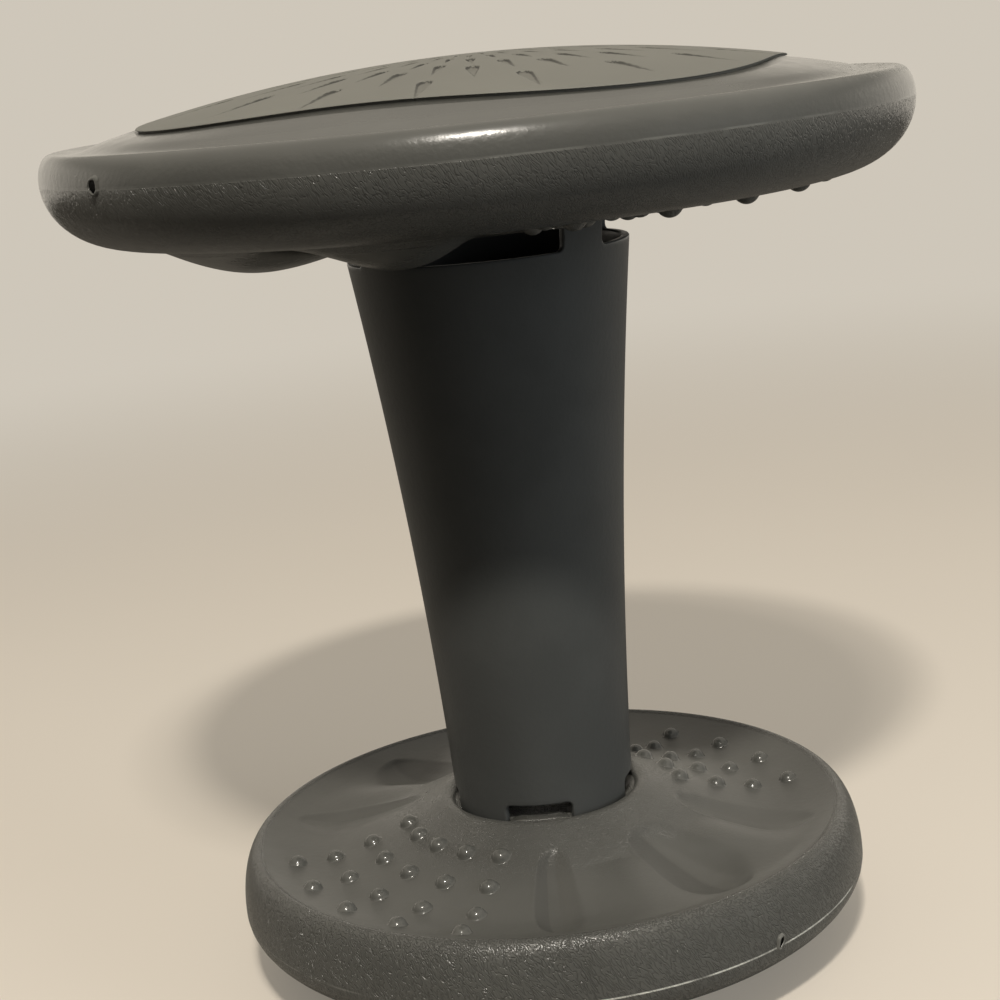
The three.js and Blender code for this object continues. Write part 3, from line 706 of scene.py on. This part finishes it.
# A field of bumps in rings and columns, dropped onto a disc's face and turned to stand on it.
def gripBumps(name, disc, material, sizes):
    group, tree, given = geometryTree(name, sizes | {"Disc": disc, "Finish": material})
    index = tree.add("GeometryNodeInputIndex")
    rings, columns = given["Rings"], given["Columns"]
    ring = tree.maths("FLOORED_MODULO", index, rings)
    column = tree.maths("FLOORED_MODULO", tree.maths("FLOOR", index / rings), columns)
    half = tree.maths("FLOOR", index / (rings * columns))
    azimuth = given["First Column"] + column * given["Column Turn"] + half * math.pi
    radius = given["First Ring"] + ring * given["Ring Pitch"]
    start = tree.add("ShaderNodeCombineXYZ", inputs={0: radius * tree.maths("COSINE", azimuth),
                                                     1: radius * tree.maths("SINE", azimuth),
                                                     2: given["Start Height"]})
    down = tree.add("ShaderNodeCombineXYZ", inputs={2: given["Way"]})
    target = tree.add("GeometryNodeObjectInfo", {"transform_space": "RELATIVE"}, {"Object": given["Disc"]},
                      "Geometry")
    spot = tree.add("GeometryNodeRaycast", inputs={"Target Geometry": target, "Source Position": start,
                                                   "Ray Direction": down, "Ray Length": 0.2}, output="Hit Position")
    line = tree.add("GeometryNodeMeshLine", inputs={"Count": rings * columns * 2})
    points = tree.add("GeometryNodeMeshToPoints", inputs={"Mesh": line})
    noted = tree.add("GeometryNodeStoreNamedAttribute", {"data_type": "FLOAT_VECTOR"},
                     {"Geometry": points, "Name": "lean", "Value": spot.sibling("Hit Normal")})
    placed = tree.add("GeometryNodeSetPosition", inputs={"Geometry": noted, "Position": spot})
    ball = tree.add("GeometryNodeMeshUVSphere", inputs={"Segments": 28, "Rings": 18, "Radius": 1.0})
    x, y, z = tree.parts(tree.add("GeometryNodeInputPosition"))
    out = tree.maths("SQRT", x * x + y * y) * given["Bump Radius"]
    cap, foot = given["Cap Radius"], given["Foot Radius"]
    dome = given["Bump Height"] - cap + tree.maths("SQRT", cap * cap - out * out)
    gap = given["Bump Radius"] - out
    fillet = foot - tree.maths("SQRT", tree.maths("MAXIMUM", foot * foot - gap * gap, 0.0))
    domed = tree.maths("LESS_THAN", out, cap * given["Cap Share"])
    swell = (dome * domed + fillet * (1 - domed)) * tree.maths("GREATER_THAN", z, -0.01)
    sunk = tree.maths("MINIMUM", z, 0.0) * given["Bump Height"] * 0.3
    shape = tree.add("ShaderNodeCombineXYZ", inputs={0: x * given["Bump Radius"], 1: y * given["Bump Radius"],
                                                     2: swell + sunk})
    bump = tree.add("GeometryNodeSetPosition", inputs={"Geometry": ball, "Position": shape})
    lean = tree.add("GeometryNodeInputNamedAttribute", {"data_type": "FLOAT_VECTOR"}, {"Name": "lean"})
    turn = tree.add("FunctionNodeAlignRotationToVector", {"axis": "Z"}, {"Vector": lean})
    copies = tree.add("GeometryNodeInstanceOnPoints",
                      inputs={"Points": placed, "Instance": bump, "Rotation": turn})
    real = tree.add("GeometryNodeRealizeInstances", inputs={"Geometry": copies})
    finished = tree.add("GeometryNodeSetMaterial", inputs={"Geometry": real, "Material": given["Finish"]})
    tree.finish(finished)
    piece = newObject(name, bpy.data.meshes.new(name), material)
    baked(piece, group, sizes | {"Disc": disc, "Finish": material}, material)
    piece.data.shade_smooth()
    return piece


# A bump is a round cap with a fillet at its foot: its radius and height follow from the two arcs and
# the angle at which they meet.
def bumpSizes(capRadius, footRadius, angle):
    t = math.radians(angle)
    return {"Cap Radius": capRadius * mm, "Foot Radius": footRadius * mm, "Cap Share": math.sin(t),
            "Bump Radius": (capRadius + footRadius) * math.sin(t) * mm,
            "Bump Height": (capRadius + footRadius) * (1 - math.cos(t)) * mm}


baseBumps = gripBumps("base_bumps", baseShell, baseShineMaterial, {
    "Rings": 4, "Columns": 5, "First Ring": 57 * mm, "Ring Pitch": 15.4 * mm, "First Column": math.radians(190),
    "Column Turn": math.radians(15), "Start Height": 0.12, "Way": -1.0} | bumpSizes(3.8, 0.9, 70.0))
seatBumps = gripBumps("seat_bumps", seatShell, seatMaterial, {
    "Rings": 4, "Columns": 6, "First Ring": 75.4 * mm, "Ring Pitch": 18.1 * mm, "First Column": math.radians(-2.5),
    "Column Turn": math.radians(-15), "Start Height": 0.2, "Way": 1.0} | bumpSizes(4.6, 1.2, 58.0))

print("lugs")
lugSizes = {
    "inner": 31.6, "outer": 37.2, "halfTurn": math.radians(18.6), "height": 3.0, "shoulder": 2.2, "endShare": 0.35,
    "first": 265, "tops": (63.2, 61.0, 63.2, 61.0),
}


# A block that fills part of a ring groove and stands up through a notch of the column.
def lugPiece(name, azimuthMiddle, topHeight):
    size = lugSizes
    shares = np.linspace(-1, 1, 25)
    rows = []
    for inset, rise in ((0.0, 0.0), (0.0, 0.55), (0.05, 0.8), (0.2, 0.95), (0.5, 1.0)):
        loop = []
        for radius, way in ((size["inner"] + inset, 1), (size["outer"] - inset, -1)):
            for s in shares[::way]:
                slope = smooth((1 - abs(s)) / size["endShare"])
                top = topHeight - size["height"] + (
                    size["shoulder"] + (size["height"] - size["shoulder"]) * slope) * rise
                angle = math.radians(azimuthMiddle) + size["halfTurn"] * s * (1 - 0.012 * inset)
                loop.append((radius * math.cos(angle), radius * math.sin(angle), top))
        rows.append(loop[::-1])
    rows = np.array(rows)
    bottom, top = rows[0].mean(0), rows[-1].mean(0)
    angle = math.radians(azimuthMiddle)
    middle = (size["inner"] + size["outer"]) / 2
    centre = (middle * math.cos(angle), middle * math.sin(angle))
    return loftMesh(name, rows, ((*centre, bottom[2]), (*centre, top[2])))


lugs = [newObject(f"base_lug_{k}", lugPiece(f"base_lug_{k}", lugSizes["first"] + 90 * k, top), baseMaterial)
        for k, top in enumerate(lugSizes["tops"])]

print("vents")
# the hole is shut by a near-black plug: painted shade for the dark hollow inside the shell
ventMaterial, ventTree, ventShader = newMaterial("ventHole")
ventShadeNoise = ventTree.noise(ventTree.add("ShaderNodeTexCoord", output=3), 900.0)
ventTone = ventTree.mixed(ventShadeNoise, tinted(0.002, discTint), tinted(0.007, discTint))
feed(ventTree, ventShader, {"Base Color": ventTone, "Roughness": 0.9, "Specular IOR Level": 0.1})
ventLipMaterial = blownPlastic("ventLipPlastic", discTint,
                               look=shinyLook | {"colour": 0.15, "smoothRoughness": 0.18})


# The blowing vent on a flank: a pinched ring of plastic round a hole, set upright on the wall; a near-black plug
# in the hole is painted shade for the hollow inside. Each step of the profile is (half height, how far it stands
# out).
def ventPiece(name, place, profile):
    around = np.linspace(0, 2 * np.pi, 41)[:-1]
    azimuth, tilt = math.radians(place["azimuth"]), place["tilt"]
    way = np.array((math.cos(azimuth), math.sin(azimuth), 0))
    beside, up = np.array((-way[1], way[0], 0)), np.array((0, 0, 1.0))
    rows = []
    for reach, out in profile:
        wide = reach * place["width"] * np.cos(around) * (1 + 0.14 * np.sin(3 * around))
        tall = reach * np.sin(around)
        x = wide * math.cos(tilt) - tall * math.sin(tilt)
        y = wide * math.sin(tilt) + tall * math.cos(tilt)
        swell = out * (1 - 0.3 * np.cos(around)) if out > 0.5 else np.full(len(around), out)
        rows.append(way * place["radius"] + np.outer(x, beside) + np.outer(y, up) + np.outer(swell, way)
                    + up * place["height"])
    return loftMesh(name, rows, (rows[0].mean(0), rows[-1].mean(0)))


ventPlaces = {
    "base": {"azimuth": 309, "radius": 125.6, "height": baseSizes["parting"] + 1.6, "tilt": -0.5, "width": 0.62,
             "lip": 1.2, "material": ventLipMaterial},
    "seat": {"azimuth": 219.2, "radius": 162.9, "height": seatSizes["parting"] + 0.8, "tilt": 0.5, "width": 1.05,
             "lip": 0.85, "material": seatMaterial},
}
vents = []
for disc, place in ventPlaces.items():
    top = place["lip"]
    lip = ((4.0, -1.4), (3.7, -0.4), (3.1, 0.5 * top), (2.7, top), (2.3, top), (2.1, 0.5), (2.0, 0.1))
    plug = ((2.2, -0.4), (2.2, 0.48), (0.5, 0.5))
    for part, profile, material in (("lip", lip, place["material"]), ("hole", plug, ventMaterial)):
        mesh = ventPiece(f"{disc}_vent_{part}", place, profile)
        vents.append(newObject(mesh.name, mesh, material))

print("pads")
seatPadMaterial = padPlastic("seatPadPlastic", seatStrokes)
basePadMaterial = padPlastic("basePadPlastic", baseStrokes)
# columns of faces crowd towards the strokes
lineSteps = np.array((-5, -3.6, -2.4, -1.95, -1.6, -1.25, -0.9, -0.45, 0, 0.45, 0.9, 1.25, 1.6, 1.95, 2.4, 3.6))
padAzimuths = strokeFirst + np.radians((np.arange(strokeLines)[:, None] * 360 / strokeLines + lineSteps).ravel())


# The edge of a pad: a thin lip over an undercut side, as insets from the outline and drops from the top.
padEdgeSteps = ((1.3, 3.9), (1.0, 3.6), (1.0, 1.0), (0.7, 0.6), (0.2, 0.42), (0.0, 0.3), (0.08, 0.12),
                (0.3, 0.02), (0.7, 0.0))
padThickness = 4
padFaceInset = 1.3


def buildSeatPad():
    edge = outlineRadius(*seatPadOutline, padAzimuths)
    face = edge - padFaceInset
    rows = [polar(edge * s, padAzimuths, crownHeight(edge * s) - padThickness) for s in (0.3, 0.7, 0.97)]
    rows += [polar(edge - d, padAzimuths, crownHeight(edge - d) - h) for d, h in padEdgeSteps]
    rows += [polar(face * s, padAzimuths, crownHeight(face * s)) for s in np.linspace(1, 0.02, 126)]
    return loftMesh("seat_pad_skin", rows, ((0, 0, crownHeight(0) - padThickness), (0, 0, crownHeight(0))))


def buildBasePad():
    def sole(radius):
        return np.maximum(rockerHeight(radius), 0)
    edge = outlineRadius(*basePadOutline, padAzimuths)
    face = edge - padFaceInset
    rows = [polar(face * s, padAzimuths, sole(face * s)) for s in np.linspace(0.02, 1, 90)]
    rows += [polar(edge - d, padAzimuths, sole(edge - d) + h) for d, h in reversed(padEdgeSteps)]
    rows += [polar(edge * s, padAzimuths, rockerHeight(edge * s) + padThickness) for s in (0.97, 0.7, 0.3)]
    return loftMesh("base_pad_skin", rows, ((0, 0, 0), (0, 0, rockerHeight(0) + padThickness)))


# Presses the strokes into the faces of a pad that look along the way, which is 1 for down and -1 for up.
def cutStrokes(piece, name, strokes, way, depth, material):
    inputs = {"Depth": depth * mm, "Way": way}
    group, tree, given = geometryTree(name, inputs)
    sunk, _ = strokeFields(tree, tree.add("GeometryNodeInputPosition"), strokes)
    offset = tree.add("ShaderNodeCombineXYZ", inputs={2: sunk * given["Depth"] * given["Way"]})
    *_, upright = tree.parts(tree.add("GeometryNodeInputNormal"))
    outside = tree.maths("LESS_THAN", upright * given["Way"], -0.5)
    moved = tree.add("GeometryNodeSetPosition", inputs={"Geometry": given["Geometry"], "Selection": outside,
                                                        "Offset": offset})
    tree.finish(moved)
    baked(piece, group, inputs, material)


seatPad = newObject("seat_pad_skin", buildSeatPad(), seatPadMaterial)
basePad = newObject("base_pad_skin", buildBasePad(), basePadMaterial)
cutStrokes(seatPad, "seatStrokes", seatStrokes, -1.0, 0.9, seatPadMaterial)
cutStrokes(basePad, "baseStrokes", baseStrokes, 1.0, 0.8, basePadMaterial)

for piece, node in ((baseShell, "base_shell"), (seatShell, "seat_shell"), (column, "column"),
                    (seatPad, "seat_pad"), (basePad, "base_pad")):
    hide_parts(node)
for piece in (baseShell, seatShell, column, seatPad, basePad, baseBumps, seatBumps, *lugs, *vents):
    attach(piece, "root")

print("stage, lamps and camera")
stageLook = {
    "floorColour": (0.64, 0.585, 0.51, 1.0),
    "worldColour": (0.62, 0.57, 0.49, 1.0),
    "nearBounce": (0.42, 0.40, 0.36, 1.0),      # what the floor gives back close to the stool,
    "farBounce": (0.05, 0.048, 0.045, 1.0),     # further out towards the camera
    "backBounce": (0.26, 0.247, 0.225, 1.0),    # and further out behind
    "bounceReach": (0.15, 0.27),
    "bounceTurn": (-0.35, 0.25),
    "surround": (0.55, 1.9),                    # distances over which the floor turns into the room
    "backFill": 0.84,
    "backTurn": (-0.2, 0.75),
    "backDim": 0.86,                            # how much darker the room behind gets higher up
    "dimRise": (0.18, 0.38),
    "topFill": 0.66,
    "topTurn": (0.15, 0.9),
    "glossGain": 0.9,
}
floorRadii = (2600.0, 1200.0, 400.0)
lampDistance = 2.0
lampAim = (0, 0, 0.2)
cameraLook = {
    "place": (0, -0.75147, 0.3566), "yaw": -0.0079, "pitch": 0.2265, "roll": -0.1066,
    "picture": 1000, "focal": 1954.98, "centre": (499.32, 500.06),      # in pixels
}


def buildStage():
    rows = plainRows([(radius, 0.0) for radius in floorRadii], np.linspace(0, 2 * np.pi, 65)[:-1])
    mesh = loftMesh("floor", rows, (None, (0, 0, 0)))
    material, tree, shader = newMaterial("floorPaint")
    place = tree.add("ShaderNodeTexCoord", output=3)
    clouds = tree.noise(place, 3.0, 3.0)
    seen = tree.add("ShaderNodeLightPath", output=0)
    tone = tree.mixed(clouds, stageLook["floorColour"], tinted(0.95, stageLook["floorColour"][:3]))
    away = tree.vectors("LENGTH", place).sibling(1)
    back = tree.step(tree.parts(place)[1], *stageLook["bounceTurn"])
    around = tree.mixed(back, stageLook["farBounce"], stageLook["backBounce"])
    bounce = tree.mixed(tree.step(away, *stageLook["bounceReach"]), stageLook["nearBounce"], around)
    tone = tree.mixed(seen, bounce, tone)
    # far out the floor turns into the pale surround, so that no horizon shows
    far = tree.step(away, *stageLook["surround"])
    glow = tree.mixed(seen * (far * 0.72 + 0.28), (0, 0, 0, 1), stageLook["worldColour"])
    tone = tree.mixed(far * seen, tone, (0, 0, 0, 1))
    feed(tree, shader, {"Base Color": tone, "Roughness": 0.9, "Emission Color": glow, "Emission Strength": 1.0,
                        "Specular IOR Level": 0.0})
    newObject("floor", mesh, material)


# A pale room, brighter above and behind the stool than on the camera's side.
def buildWorld():
    world = bpy.data.worlds.new("studio")
    bpy.context.scene.world = world
    world.use_nodes = True
    tree = Tree(world.node_tree)
    background = next(n for n in world.node_tree.nodes if n.type == "BACKGROUND")
    seen = tree.add("ShaderNodeLightPath", output=0)
    glossy = tree.add("ShaderNodeLightPath", output=3)
    _, backward, upward = tree.parts(tree.add("ShaderNodeTexCoord", output=0))
    behind = tree.step(backward, *stageLook["backTurn"])
    above = tree.step(upward, *stageLook["topTurn"])
    lower = 1 - tree.step(upward, *stageLook["dimRise"]) * stageLook["backDim"]
    room = behind * lower * stageLook["backFill"] + above * stageLook["topFill"]
    room = room * (1 + glossy * stageLook["glossGain"])
    strength = tree.maths("MAXIMUM", room * (1 - seen), seen)
    feed(tree, background, {"Strength": strength, "Color": stageLook["worldColour"]})


def addLamp(name, azimuth, elevation, size, power, colour, mirrored=True):
    lamp = bpy.data.lights.new(name, "AREA")
    lamp.shape = "DISK"
    lamp.size = size
    lamp.energy = power
    lamp.color = colour
    holder = bpy.data.objects.new(name, lamp)
    mainCollection.objects.link(holder)
    holder.visible_glossy = mirrored
    a, e = math.radians(azimuth), math.radians(elevation)
    holder.location = Vector((math.cos(a) * math.cos(e), math.sin(a) * math.cos(e), math.sin(e))) * lampDistance
    aim = (Vector(lampAim) - holder.location).to_track_quat("-Z", "Y")
    holder.rotation_euler = aim.to_euler()


def buildCamera():
    yaw, pitch, roll = (cameraLook[key] for key in ("yaw", "pitch", "roll"))
    picture, (centreX, centreY) = cameraLook["picture"], cameraLook["centre"]
    forward = Vector((math.sin(yaw) * math.cos(pitch), math.cos(yaw) * math.cos(pitch), -math.sin(pitch)))
    right = Vector((math.cos(yaw), -math.sin(yaw), 0))
    up = right.cross(forward)
    turnedRight = math.cos(roll) * right + math.sin(roll) * up
    turnedUp = -math.sin(roll) * right + math.cos(roll) * up
    camera = bpy.data.cameras.new("camera")
    camera.sensor_fit = "HORIZONTAL"
    camera.sensor_width = 36
    camera.lens = cameraLook["focal"] / picture * camera.sensor_width
    camera.shift_x = 0.5 - centreX / picture
    camera.shift_y = centreY / picture - 0.5
    camera.clip_start = 0.01
    holder = bpy.data.objects.new("camera", camera)
    mainCollection.objects.link(holder)
    turn = Matrix((turnedRight, turnedUp, -forward)).transposed()
    holder.matrix_world = Matrix.Translation(Vector(cameraLook["place"])) @ turn.to_4x4()
    bpy.context.scene.camera = holder


buildStage()
buildWorld()
addLamp("key", 268, 54, 0.12, 18.9, (1.0, 0.94, 0.85))
addLamp("keyTwin", 273, 55, 0.12, 8.1, (1.0, 0.94, 0.85))
addLamp("side", 330, 10, 1.4, 17.0, (0.92, 0.96, 1.0), mirrored=False)
addLamp("low", 205, 3, 1.6, 2.4, (1.0, 0.96, 0.88), mirrored=False)
buildCamera()
bpy.context.scene.view_settings.view_transform = "Standard"
